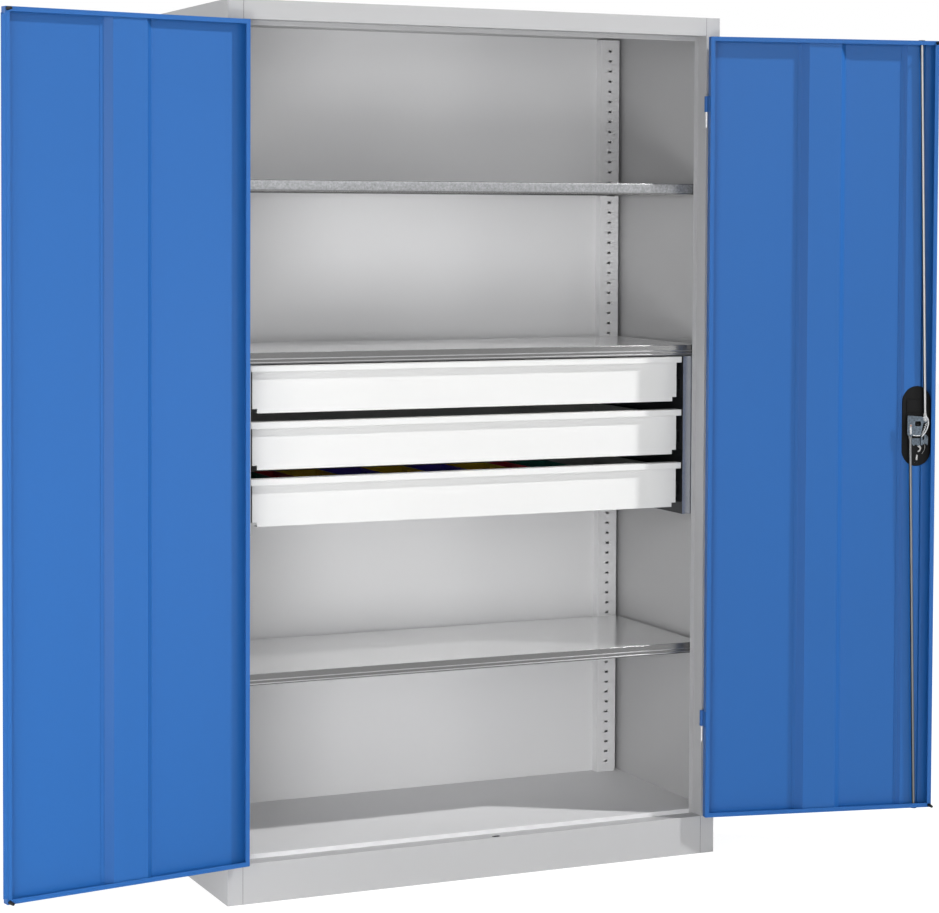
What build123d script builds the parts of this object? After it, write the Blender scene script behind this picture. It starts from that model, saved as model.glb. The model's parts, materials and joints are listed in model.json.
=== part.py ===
from build123d import *
import math
import os

# Tall steel cupboard with two wing doors, three shelves and a block of three drawers.
# Millimetres. +X right, +Y to the back, +Z up, origin on the floor under the middle of the plinth's foot.
# The doors stand wide open. Door pieces are drawn as if shut, on a frame that turns about the hinge.

# Carcass
carcass_height = 1950.0
carcass_width = 1200.0
carcass_depth = 500.0
origin_behind_front = 12.5
carcass_sheet = 1.2
post_width = 35.0
rebate_depth = 38.0
stop_lip = 10.0
rail_height = 42.0
plinth_height = 88.0
plinth_foot = 25.0
back_flange = 20.0
edge_flange = 20.0

# Slotted uprights
upright_width = 50.0
upright_depth = 25.0
strip_width = 38.0
strip_depth = 10.0
upright_sheet = 1.5
upright_wall_gap = 14.0
upright_top_gap = 22.0
slot_pitch = 25.0
slot_height = 5.0
slot_width = 9.0
first_slot = 26.5

# Shelves and the clips that carry them
shelf_rows = {"shelf_lower": 14, "shelf_middle": 42, "shelf_upper": 57}
shelf_sheet = 1.2
shelf_lip = 25.0
shelf_return = 10.0
shelf_front_gap = 2.8
shelf_edge_radius = 1.0
clip_sheet = 1.5
clip_width = 14.0
clip_leg = 22.0
clip_tongue = 14.0
clip_hook_rise = 8.0
clip_hook_grip = 3.0
clip_play = 0.5

# Drawer block
drawer_names = ["top", "middle", "bottom"]
drawer_pitch = 124.0
drawer_front_height = 105.0
drawer_front_setback = 58.0
drawer_front_fold = 16.0
drawer_sheet = 1.0
drawer_shelf_gap = 3.0
drawer_side_gap = 2.0
drawer_box_length = 400.0
drawer_box_height = 84.0
drawer_box_rise = 8.0
drawer_rim = 8.0
grip_height = 14.0
grip_reach = 12.0
face_inset = 7.0
notch_width = 11.0
notch_height = 10.0
cut_overrun = 1.0
plate_sheet = 1.5
plate_inset = 55.3
plate_below = 16.0
plate_lip_gap = 3.0
plate_tab = 34.0

# Telescopic runners
runner_depth = 12.7
runner_height = 35.0
runner_sheet = 1.2
runner_play = 0.4
runner_reach = 7.0
runner_rise = 38.0
runner_length = drawer_box_length

# Small-parts bins in the bottom drawer
bin_unit = 54.0
bin_rows = 2
bin_row_units = 3
bin_columns = [
    ("green", 2), ("red", 1), ("yellow", 2), ("blue", 2), ("yellow", 2),
    ("blue", 2), ("yellow", 2), ("red", 1), ("green", 2),
]
bin_height = 76.0
bin_wall = 1.5
bin_gap = 0.6
bin_front_gap = 3.0
bin_corner = 4.0

# Doors
door_gap = 3.0
door_thickness = 20.0
door_sheet = 1.0
door_lip = 10.0
door_edge_radius = 1.5
left_open_angle = 170.0
right_open_angle = 168.0

# Door stiffeners
hat_flat = 78.0
hat_run = 15.0
hat_depth = 13.0
hat_flange = 9.0
channel_flat = 40.0
channel_run = 6.0
channel_depth = 5.5
channel_flange = 8.0

# Door buffers and the strip that covers the joint between the doors
buffer_radius = 4.0
buffer_tip_radius = 3.0
buffer_play = 0.5
strip_reach = 10.0
strip_end_gap = 14.0
strip_step = 1.0

# Hinges
hinge_edge_offset = 1.5
hinge_proud = 6.0
hinge_radius = 5.5
hinge_pin_radius = 3.0
hinge_fit = 0.05
hinge_knuckle = 36.0
hinge_split = 0.5
hinge_heights = [302.0, 1732.0]
hinge_leaf_sheet = 1.8
hinge_leaf_depth = 22.0
hinge_pin_short = 3.0

# Rod lock
lock_from_edge = 42.0
rod_radius = 3.6
rod_depth = 19.4
rod_tip_proud = 0.5
rod_eye_radius = 7.0
rod_eye_sheet = 3.0
rod_tab = 13.0
rod_tab_width = 8.0
rod_play = 1.3
crank_radius = 25.0
crank_rest_angle = 41.9
crank_sheet = 2.0
crank_hub = 12.0
crank_lobe = 8.0
crank_pin_radius = 3.0
crank_gap = 0.3
guide_wall = 0.8
guide_collar = 7.5
guide_collar_height = 1.2
guide_fit = 0.1
rod_slot_length = 20.0
rod_slot_width = 13.0

# Lock case, handle and cylinder
case_width = 71.0
case_length = 189.0
case_edge_radius = 1.5
case_proud = 4.0
case_rim = 5.0
case_wall = 2.0
case_cutout_play = 0.5
dish_floor = 4.5
dish_sheet = 1.5
cover_height = 6.5
cover_edge_radius = 1.0
cover_hole_play = 1.0
cover_pocket_shift = 8.0
cover_pocket = (36.0, 38.0)
cover_pocket_rise = 38.0
cover_pocket_depth = 0.8
plate_size = (52.0, 70.0)
plate_corner = 3.0
plate_thickness = 1.2
lock_plate_drop = 4.0
screw_radius = 1.5
screw_head_radius = 3.2
screw_head_height = 0.8
screw_fit = 0.1
screw_inset = 6.0
handle_length = 118.0
handle_width = 26.0
handle_thickness = 9.5
handle_edge_radius = 3.0
handle_gap = 1.5
handle_hub_radius = 14.0
handle_hub_gap = 0.5
spindle_radius = 5.0
spindle_head_radius = 7.0
spindle_head_height = 1.2
spindle_fit = 0.08
cylinder_from_end = 16.5
cylinder_radius = 9.0
barrel_radius = 6.0
cylinder_fit = 0.1
cylinder_sink = 1.0
keyway = (1.6, 7.0)
keyway_depth = 6.0

# Places that follow from the sizes above
half_width = carcass_width / 2
front_y = -origin_behind_front
back_y = front_y + carcass_depth
opening_half = half_width - post_width
lip_half = opening_half - stop_lip
lip_y = front_y + rebate_depth
inside_half = half_width - carcass_sheet
roof_under = carcass_height - carcass_sheet
rail_bottom = carcass_height - rail_height
floor_top = plinth_height + stop_lip
panel_back = back_y - carcass_sheet
panel_front = panel_back - carcass_sheet

upright_face = panel_front - upright_depth
upright_x = inside_half - upright_wall_gap - upright_width / 2
strip_face = inside_half - strip_depth
shelf_front = lip_y + carcass_sheet + shelf_front_gap
strip_y = shelf_front + strip_width / 2
upright_height = roof_under - upright_top_gap - floor_top
slot_count = int((upright_height - first_slot - slot_height) // slot_pitch) + 1

shelf_half = strip_face - clip_sheet - clip_play
shelf_back = upright_face - clip_sheet - clip_play

plate_x = strip_face - plate_inset
drawer_width = 2 * (plate_x - drawer_side_gap)

door_width = (2 * opening_half - 3 * door_gap) / 2
door_bottom = plinth_height + door_gap
door_top = rail_bottom - door_gap
door_height = door_top - door_bottom
hinge_x = opening_half - door_gap + hinge_edge_offset
hinge_y = front_y - hinge_proud
edge_u = hinge_edge_offset
free_u = hinge_edge_offset + door_width
outer_v = hinge_proud
skin_v = outer_v + door_sheet
inner_v = outer_v + door_thickness
lip_v = inner_v - door_sheet

lock_u = free_u - lock_from_edge
lock_z = (door_top + door_bottom) / 2
cover_v = skin_v + cover_height
plate_v = cover_v + plate_thickness
eye_v = rod_depth - rod_eye_sheet / 2
crank_v = eye_v + rod_eye_sheet + crank_gap
bezel_v = outer_v - case_proud
handle_v = bezel_v - handle_gap
cylinder_drop = case_length / 2 - cylinder_from_end
rod_world_x = hinge_x - lock_u
rod_world_y = hinge_y + rod_depth


def save(piece, name):
    """Label a finished piece and write it to its own STEP file."""
    piece.part.label = name
    export_step(piece.part, f"parts/{name}.step")
    print(name, len(piece.part.solids()), "solid(s)", round(piece.part.volume / 1000), "cm3")


def outer_side(side):
    """Side on which a mirrored profile keeps its sheet: right of the line on +X, left of it on -X."""
    return Side.RIGHT if side > 0 else Side.LEFT


def bent_sheet(points, sheet, side):
    """Closed outline of a bent sheet whose visible face follows the points. Call inside a sketch."""
    with BuildLine(Plane.XY) as outline:
        Polyline(*points)
        offset(amount=sheet, side=side, kind=Kind.INTERSECTION)
    make_face(outline.edges())


def block(low, high, mode=Mode.ADD):
    """A block between two corners. Call inside a part."""
    size = [b - a for a, b in zip(low, high)]
    with BuildSketch(Plane.XY.offset(low[2])) as base:
        with Locations(((low[0] + high[0]) / 2, (low[1] + high[1]) / 2)):
            Rectangle(size[0], size[1])
    extrude(base.sketch, amount=size[2], mode=mode)


def trim_lip_corners():
    """Leave room for the upright stop lips at both ends of a rail. Call inside a part."""
    for side in (-1, 1):
        ends = sorted((side * lip_half, side * (opening_half + carcass_sheet)))
        high = (ends[1], lip_y + carcass_sheet, roof_under)
        block((ends[0], lip_y, -carcass_sheet), high, mode=Mode.SUBTRACT)


def rod_slot(height):
    """Slot through a return flange for the lock rod. Call inside a part."""
    with BuildSketch(Plane.XY.offset(height)) as slot:
        with Locations((rod_world_x, rod_world_y)):
            SlotOverall(rod_slot_length, rod_slot_width)
    extrude(slot.sketch, amount=carcass_sheet, mode=Mode.SUBTRACT)


def make_carcass():
    """Side panels with their posts, roof, plinth, floor and back."""
    for side, name in ((-1, "left_side_panel"), (1, "right_side_panel")):
        profile = [
            (half_width - back_flange, back_y), (half_width, back_y), (half_width, front_y),
            (opening_half, front_y), (opening_half, lip_y), (lip_half, lip_y),
        ]
        with BuildPart() as side_panel:
            with BuildSketch(Plane.XY):
                bent_sheet([(side * x, y) for x, y in profile], carcass_sheet, outer_side(side))
            extrude(amount=carcass_height)
            ends = sorted((side * lip_half, side * (opening_half + carcass_sheet)))
            low = (ends[0], front_y + carcass_sheet, roof_under)
            block(low, (ends[1], lip_y + carcass_sheet, carcass_height), mode=Mode.SUBTRACT)
        save(side_panel, name)

    with BuildPart() as roof_panel:
        block((-inside_half, front_y + carcass_sheet, roof_under), (inside_half, panel_back, carcass_height))
        with BuildSketch(Plane.YZ.offset(-opening_half)):
            rail = [
                (front_y, carcass_height), (front_y, rail_bottom),
                (lip_y, rail_bottom), (lip_y, rail_bottom - stop_lip),
            ]
            bent_sheet(rail, carcass_sheet, Side.LEFT)
        extrude(amount=2 * opening_half)
        flange_bottom = roof_under - edge_flange
        for side in (-1, 1):
            ends = sorted((side * inside_half, side * (inside_half - carcass_sheet)))
            low = (ends[0], front_y + carcass_sheet, flange_bottom)
            block(low, (ends[1], panel_front, roof_under))
        low = (-inside_half, panel_front - carcass_sheet, flange_bottom)
        block(low, (inside_half, panel_front, roof_under))
        trim_lip_corners()
        rod_slot(rail_bottom)
    save(roof_panel, "roof_panel")

    with BuildPart() as plinth_panel:
        with BuildSketch(Plane.YZ.offset(-opening_half)):
            plinth = [
                (front_y + plinth_foot, 0), (front_y, 0),
                (front_y, plinth_height), (lip_y + carcass_sheet, plinth_height),
            ]
            bent_sheet(plinth, carcass_sheet, Side.RIGHT)
        extrude(amount=2 * opening_half)
        trim_lip_corners()
        rod_slot(plinth_height - carcass_sheet)
    save(plinth_panel, "plinth_panel")

    with BuildPart() as floor_panel:
        flange_bottom = floor_top - edge_flange
        with BuildSketch(Plane.YZ.offset(-lip_half)):
            tray = [
                (lip_y, plinth_height), (lip_y, floor_top),
                (panel_front, floor_top), (panel_front, flange_bottom),
            ]
            bent_sheet(tray, carcass_sheet, Side.RIGHT)
        extrude(amount=2 * lip_half)
        low = (-inside_half, lip_y + carcass_sheet, floor_top - carcass_sheet)
        block(low, (inside_half, panel_front, floor_top))
        for side in (-1, 1):
            ends = sorted((side * inside_half, side * (inside_half - carcass_sheet)))
            low = (ends[0], lip_y + carcass_sheet, flange_bottom)
            block(low, (ends[1], panel_front, floor_top))
    save(floor_panel, "floor_panel")

    with BuildPart() as back_panel:
        block((-inside_half, panel_front, 0), (inside_half, panel_back, roof_under))
    save(back_panel, "back_panel")


def upright_plane(side, place):
    """Plane of a slotted upright: x across its face, y into its depth, z up, on the cupboard's floor."""
    if place == "rear":
        return Plane(origin=(side * upright_x, upright_face, floor_top), x_dir=(1, 0, 0), z_dir=(0, 0, 1))
    return Plane(origin=(side * strip_face, strip_y, floor_top), x_dir=(0, -side, 0), z_dir=(0, 0, 1))


def face_plane(plane):
    """The slotted face of an upright, seen from inside the cupboard, with y up."""
    return Plane(origin=plane.origin, x_dir=plane.x_dir, z_dir=-plane.y_dir)


def make_uprights():
    """Four slotted channels: two against the back and two on the side panels behind the posts."""
    sizes = {"rear": (upright_width, upright_depth), "front": (strip_width, strip_depth)}
    for place, (width, depth) in sizes.items():
        for side, hand in ((-1, "left"), (1, "right")):
            plane = upright_plane(side, place)
            edge = width / 2
            with BuildPart() as upright:
                with BuildSketch(plane):
                    channel = [(-edge, depth), (-edge, 0), (edge, 0), (edge, depth)]
                    bent_sheet(channel, upright_sheet, Side.LEFT)
                extrude(amount=upright_height)
                with BuildSketch(face_plane(plane)):
                    with Locations((0, first_slot + (slot_count - 1) * slot_pitch / 2)):
                        with GridLocations(0, slot_pitch, 1, slot_count):
                            Rectangle(slot_width, slot_height)
                extrude(amount=-upright_sheet, mode=Mode.SUBTRACT)
            save(upright, f"upright_{place}_{hand}")


def shelf_bottom(row):
    """Height of a shelf's lower edge when its clips hang in the given row of slots."""
    return floor_top + first_slot + row * slot_pitch - clip_hook_rise


def make_shelves():
    """Zinc-coated trays with their lips turned down, each on four hooked clips."""
    for name, row in shelf_rows.items():
        bottom = shelf_bottom(row)
        with BuildPart() as shelf:
            block((-shelf_half, shelf_front, bottom), (shelf_half, shelf_back, bottom + shelf_lip))
            fillet(shelf.faces().sort_by(Axis.Z)[-1].edges(), shelf_edge_radius)
            low = (-shelf_half + shelf_sheet, shelf_front + shelf_sheet, bottom)
            high = (shelf_half - shelf_sheet, shelf_back - shelf_sheet, bottom + shelf_lip - shelf_sheet)
            block(low, high, mode=Mode.SUBTRACT)
            low = (-shelf_half + shelf_sheet, shelf_front, bottom)
            block(low, (shelf_half - shelf_sheet, shelf_front + shelf_return, bottom + shelf_sheet))
        save(shelf, name)

    with BuildPart() as shelf_clips:
        for row in shelf_rows.values():
            for side in (-1, 1):
                for place in ("rear", "front"):
                    plane = upright_plane(side, place)
                    seat = shelf_bottom(row) - floor_top
                    with BuildSketch(plane.offset(seat - clip_sheet)):
                        with Locations((0, -clip_sheet / 2)):
                            Rectangle(clip_width, clip_sheet)
                    extrude(amount=clip_leg)
                    with BuildSketch(plane.offset(seat - clip_sheet)):
                        with Locations((0, -clip_sheet - clip_tongue / 2)):
                            Rectangle(clip_width, clip_tongue)
                    extrude(amount=clip_sheet)
                    with BuildSketch(face_plane(plane)):
                        with Locations((0, seat + clip_hook_rise)):
                            Rectangle(slot_width - clip_play, slot_height - 2 * clip_play)
                    extrude(amount=-(upright_sheet + clip_hook_grip))
    save(shelf_clips, "shelf_clips")


def drawer_top(index):
    """Height of the top edge of a drawer front, counted down from the middle shelf."""
    return shelf_bottom(shelf_rows["shelf_middle"]) - drawer_shelf_gap - index * drawer_pitch


def make_drawers():
    """Side plates, telescopic runners, folded fronts and open boxes."""
    front_half = drawer_width / 2
    plate_front = lip_y + carcass_sheet + plate_lip_gap
    plate_top = shelf_bottom(shelf_rows["shelf_middle"]) - clip_sheet - clip_play
    plate_bottom = drawer_top(len(drawer_names) - 1) - drawer_front_height - plate_below
    for side, hand in ((-1, "left"), (1, "right")):
        profile = [
            (strip_face, plate_front + plate_tab), (strip_face, plate_front), (plate_x, plate_front),
            (plate_x, upright_face), (upright_x + upright_width / 2, upright_face),
        ]
        with BuildPart() as side_plate:
            with BuildSketch(Plane.XY.offset(plate_bottom)):
                bent_sheet([(side * x, y) for x, y in profile], plate_sheet, outer_side(side))
            extrude(amount=plate_top - plate_bottom)
        save(side_plate, f"drawer_plate_{hand}")

    face_y = front_y + drawer_front_setback
    box_front = face_y + drawer_front_fold
    box_half = plate_x - runner_depth
    for index, name in enumerate(drawer_names):
        top = drawer_top(index)
        bottom = top - drawer_front_height
        runner_z = bottom + runner_rise

        with BuildPart() as drawer_front:
            with BuildSketch(Plane.YZ.offset(-front_half)):
                fold = [
                    (box_front, top), (face_y - grip_reach, top), (face_y - grip_reach, top - grip_height),
                    (face_y, top - grip_height), (face_y, bottom), (box_front, bottom),
                ]
                bent_sheet(fold, drawer_sheet, Side.LEFT)
            extrude(amount=drawer_width)
            for end in (-front_half, front_half - drawer_sheet):
                with BuildSketch(Plane.YZ.offset(end)):
                    Polygon(*fold, align=None)
                extrude(amount=drawer_sheet)
            grip_bottom = top - grip_height
            for side in (-1, 1):
                outer_end = side * (front_half + cut_overrun)
                face_end = side * (front_half - face_inset)
                ends = sorted((face_end, outer_end))
                low = (ends[0], face_y - cut_overrun, bottom - cut_overrun)
                block(low, (ends[1], box_front + cut_overrun, grip_bottom), mode=Mode.SUBTRACT)
                ends = sorted((face_end, face_end - side * drawer_sheet))
                block((ends[0], face_y, bottom), (ends[1], box_front, grip_bottom + drawer_sheet))
                ends = sorted((face_end - side * notch_width, outer_end))
                low = (ends[0], face_y - cut_overrun, bottom - cut_overrun)
                block(low, (ends[1], box_front + cut_overrun, bottom + notch_height), mode=Mode.SUBTRACT)
        save(drawer_front, f"drawer_front_{name}")

        with BuildPart() as drawer_box:
            low_z = bottom + drawer_box_rise
            high_z = low_z + drawer_box_height
            back = box_front + drawer_box_length
            block((-box_half, box_front, low_z), (box_half, back, high_z))
            rim = drawer_sheet + drawer_rim
            low = (-box_half + rim, box_front + drawer_sheet, low_z + drawer_sheet)
            block(low, (box_half - rim, back - drawer_sheet, high_z), mode=Mode.SUBTRACT)
            for side in (-1, 1):
                ends = sorted((side * (box_half - drawer_sheet), side * (box_half - rim)))
                low = (ends[0], box_front + drawer_sheet, low_z + drawer_sheet)
                block(low, (ends[1], back - drawer_sheet, high_z - drawer_sheet), mode=Mode.SUBTRACT)
        save(drawer_box, f"drawer_box_{name}")

        members = {
            "fixed": (0.0, runner_reach, runner_height),
            "middle": (
                runner_sheet + runner_play,
                runner_depth - runner_sheet - runner_play,
                runner_height - 2 * (runner_sheet + runner_play),
            ),
            "inner": (
                runner_depth,
                2 * (runner_sheet + runner_play),
                runner_height - 4 * (runner_sheet + runner_play),
            ),
        }
        for member, (web, reach, height) in members.items():
            with BuildPart() as runner:
                for side in (-1, 1):
                    with BuildSketch(Plane.XZ.offset(-(box_front + runner_length))):
                        channel = [
                            (plate_x - reach, runner_z + height / 2), (plate_x - web, runner_z + height / 2),
                            (plate_x - web, runner_z - height / 2), (plate_x - reach, runner_z - height / 2),
                        ]
                        keep = outer_side(side if member != "inner" else -side)
                        bent_sheet([(side * x, z) for x, z in channel], runner_sheet, keep)
                    extrude(amount=runner_length)
            save(runner, f"runner_{member}_{name}")


def make_bins():
    """Coloured open bins on a square grid in the bottom drawer, one node for each colour."""
    box_front = front_y + drawer_front_setback + drawer_front_fold
    box_half = plate_x - runner_depth
    bottom = drawer_top(len(drawer_names) - 1) - drawer_front_height + drawer_box_rise + drawer_sheet
    left = -box_half + drawer_sheet + drawer_rim + bin_gap
    starts = [left + bin_unit * sum(units for _, units in bin_columns[:i]) for i in range(len(bin_columns))]
    for colour in ("green", "red", "yellow", "blue"):
        with BuildPart() as bins:
            for (column_colour, units), start in zip(bin_columns, starts):
                if column_colour != colour:
                    continue
                for row in range(bin_rows):
                    front = box_front + drawer_sheet + bin_front_gap + row * bin_row_units * bin_unit
                    width = units * bin_unit - bin_gap
                    depth = bin_row_units * bin_unit - bin_gap
                    centre = (start + width / 2, front + depth / 2)
                    with BuildSketch(Plane.XY.offset(bottom)):
                        with Locations(centre):
                            RectangleRounded(width, depth, bin_corner)
                    extrude(amount=bin_height)
                    with BuildSketch(Plane.XY.offset(bottom + bin_wall)):
                        with Locations(centre):
                            hollow = (width - 2 * bin_wall, depth - 2 * bin_wall)
                            RectangleRounded(*hollow, bin_corner - bin_wall)
                    extrude(amount=bin_height, mode=Mode.SUBTRACT)
        save(bins, f"bins_{colour}")


def door_frame(side):
    """Frame on a hinge line. Its x runs along the door (backwards for the right one), its y goes inwards."""
    angle = math.radians(-left_open_angle if side < 0 else right_open_angle)
    return Plane(
        origin=(side * hinge_x, hinge_y, 0), x_dir=(math.cos(angle), math.sin(angle), 0), z_dir=(0, 0, 1)
    )


def door_face(side, depth):
    """Plane parallel to a door's face at a depth behind the hinge line, with y up and z outwards."""
    frame = door_frame(side)
    return Plane(origin=frame.from_local_coords((0, depth, 0)), x_dir=frame.x_dir, z_dir=-frame.y_dir)


def make_door_skin(side, name):
    """Folded door pan: face, four edges and a lip turned in all round."""
    frame = door_frame(side)
    middle = (-side * (edge_u + free_u) / 2, lock_z)
    with BuildPart() as skin:
        with BuildSketch(door_face(side, outer_v)):
            with Locations(middle):
                Rectangle(door_width, door_height)
        extrude(amount=-door_thickness)
        fillet(skin.faces().sort_by(Axis(frame.origin, -frame.y_dir))[-1].edges(), door_edge_radius)
        with BuildSketch(door_face(side, skin_v)):
            with Locations(middle):
                Rectangle(door_width - 2 * door_sheet, door_height - 2 * door_sheet)
        extrude(amount=-(lip_v - skin_v), mode=Mode.SUBTRACT)
        with BuildSketch(door_face(side, lip_v)):
            with Locations(middle):
                Rectangle(door_width - 2 * door_lip, door_height - 2 * door_lip)
        extrude(amount=-door_sheet, mode=Mode.SUBTRACT)
        if side > 0:
            with BuildSketch(door_face(side, outer_v)):
                with Locations((-lock_u, lock_z)):
                    lip = 2 * (case_rim - case_wall)
                    SlotOverall(case_length - lip, case_width - lip, 90)
            extrude(amount=-door_sheet, mode=Mode.SUBTRACT)
            for height in (door_top - door_sheet, door_bottom):
                with BuildSketch(frame.offset(height)):
                    with Locations((-lock_u, rod_depth)):
                        Circle(rod_radius + rod_play + guide_wall + guide_fit)
                extrude(amount=door_sheet, mode=Mode.SUBTRACT)
    save(skin, name)


def make_hat(side, name, centre, flat, run, depth, flange, window=False):
    """Full-height hat section on the inside of a door skin."""
    with BuildPart() as hat:
        with BuildSketch(door_frame(side).offset(door_bottom + door_sheet)):
            half = flat / 2
            steps = [
                (-half - run - flange, 0), (-half - run, 0), (-half, depth),
                (half, depth), (half + run, 0), (half + run + flange, 0),
            ]
            points = [(-side * (centre + u), skin_v + v) for u, v in steps]
            bent_sheet(points, door_sheet, outer_side(side))
        extrude(amount=door_height - 2 * door_sheet)
        if window:
            with BuildSketch(door_face(side, skin_v)):
                with Locations((-side * lock_u, lock_z)):
                    SlotOverall(case_length + 2 * case_cutout_play, case_width + 2 * case_cutout_play, 90)
            extrude(amount=-(depth + 2 * door_sheet), mode=Mode.SUBTRACT)
    save(hat, name)


def make_buffers(side, name):
    """Black rubber stops on the free corners, which meet the carcass lips when the door shuts."""
    length = lip_y - hinge_y - inner_v - buffer_play
    with BuildPart() as buffers:
        for height in (door_bottom + door_lip / 2, door_top - door_lip / 2):
            with BuildSketch(door_face(side, inner_v)):
                with Locations((-side * (free_u - door_lip / 2), height)):
                    Circle(buffer_radius)
            with BuildSketch(door_face(side, inner_v + length)):
                with Locations((-side * (free_u - door_lip / 2), height)):
                    Circle(buffer_tip_radius)
            loft()
    save(buffers, name)


def make_doors():
    """Both doors with their stiffeners, buffers and the joint strip on the left one."""
    middle = (edge_u + free_u) / 2
    for side, hand in ((-1, "left"), (1, "right")):
        make_door_skin(side, f"{hand}_door_skin")
        make_hat(side, f"{hand}_door_stiffener", middle, hat_flat, hat_run, hat_depth, hat_flange)
        make_buffers(side, f"{hand}_door_buffers")
    make_hat(
        1, "lock_channel", free_u - 2 * door_lip - channel_flange - channel_run - channel_flat / 2,
        channel_flat, channel_run, channel_depth, channel_flange, window=True,
    )

    with BuildPart() as joint_strip:
        with BuildSketch(door_frame(-1).offset(door_bottom + strip_end_gap)):
            strip = [
                (free_u - door_lip, inner_v), (free_u - 1, inner_v),
                (free_u + 0.5, inner_v + strip_step), (free_u + strip_reach, inner_v + strip_step),
            ]
            bent_sheet(strip, door_sheet, Side.LEFT)
        extrude(amount=door_height - 2 * strip_end_gap)
    save(joint_strip, "left_door_joint_strip")


def make_hinges():
    """Lift-off hinges: a knuckle and leaf on the door above a knuckle, leaf and pin on the post."""
    for side, hand in ((-1, "left"), (1, "right")):
        frames = {
            "door": door_frame(side),
            "post": Plane(origin=(side * hinge_x, hinge_y, 0), x_dir=(1, 0, 0), z_dir=(0, 0, 1)),
        }
        for part_name, frame in frames.items():
            on_door = part_name == "door"
            bore = hinge_pin_radius + (hinge_fit if on_door else hinge_fit / 2)
            leaf_u = edge_u - hinge_leaf_sheet / 2 if on_door else hinge_leaf_sheet / 2 - (door_gap - edge_u)
            with BuildPart() as leaves:
                for height in hinge_heights:
                    start = height + hinge_split if on_door else height - hinge_knuckle
                    with BuildSketch(frame.offset(start)):
                        Circle(hinge_radius)
                        with Locations((-side * leaf_u, hinge_leaf_depth / 2)):
                            Rectangle(hinge_leaf_sheet, hinge_leaf_depth)
                        Circle(bore, mode=Mode.SUBTRACT)
                    extrude(amount=hinge_knuckle)
            save(leaves, f"{hand}_hinge_{part_name}_leaves")

    with BuildPart() as hinge_pins:
        for side in (-1, 1):
            for height in hinge_heights:
                with BuildSketch(Plane.XY.offset(height - hinge_knuckle)):
                    with Locations((side * hinge_x, hinge_y)):
                        Circle(hinge_pin_radius)
                extrude(amount=2 * hinge_knuckle + hinge_split - hinge_pin_short)
    save(hinge_pins, "hinge_pins")


def lock_place(across, up):
    """Place on a right door face plane from offsets towards the free edge and up from the spindle."""
    return (-(lock_u + across), lock_z + up)


def crank_pin(end):
    """Offsets of the upper (+1) or lower (-1) crank pin from the spindle."""
    angle = math.radians(crank_rest_angle)
    return (end * crank_radius * math.cos(angle), end * crank_radius * math.sin(angle))


def make_rods():
    """Two lock rods that hang on the crank pins and run through bushes in the door's edges."""
    for end, name in ((1, "upper_rod"), (-1, "lower_rod")):
        pin = crank_pin(end)
        reach = door_height / 2 + rod_tip_proud
        along = Vector(-pin[0], end * reach - pin[1]).normalized()
        length = math.hypot(pin[0], reach - end * pin[1])
        turn = math.degrees(math.atan2(along.Y, -along.X))
        tab_middle = rod_tab / 2
        frame = door_frame(1)
        start_u = lock_u + pin[0] + along.X * rod_tab * 0.8
        start_z = lock_z + pin[1] + along.Y * rod_tab * 0.8
        direction = frame.x_dir * -along.X + Vector(0, 0, along.Y)
        with BuildPart() as rod:
            with BuildSketch(door_face(1, eye_v)):
                with Locations(lock_place(*pin)):
                    Circle(rod_eye_radius)
                with Locations(Location((
                    *lock_place(pin[0] + along.X * tab_middle, pin[1] + along.Y * tab_middle), 0
                ), turn)):
                    Rectangle(rod_tab, rod_tab_width)
            extrude(amount=-rod_eye_sheet)
            origin = frame.from_local_coords((-start_u, rod_depth, start_z))
            with BuildSketch(Plane(origin=origin, x_dir=frame.y_dir, z_dir=direction)):
                Circle(rod_radius)
            extrude(amount=length - rod_tab * 0.8)
            with BuildSketch(door_face(1, eye_v)):
                with Locations(lock_place(*pin)):
                    Circle(crank_pin_radius + spindle_fit)
            extrude(amount=-rod_eye_sheet, mode=Mode.SUBTRACT)
        save(rod, name)

    with BuildPart() as rod_guides:
        inside = rod_radius + rod_play
        frame = door_frame(1)
        for neck, collar in (
            (door_top - door_sheet, door_top), (door_bottom, door_bottom - guide_collar_height)
        ):
            for height, amount, radius in (
                (neck, door_sheet, inside + guide_wall), (collar, guide_collar_height, guide_collar)
            ):
                with BuildSketch(frame.offset(height)):
                    with Locations((-lock_u, rod_depth)):
                        Circle(radius)
                        Circle(inside, mode=Mode.SUBTRACT)
                extrude(amount=amount)
    save(rod_guides, "rod_guides")


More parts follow.
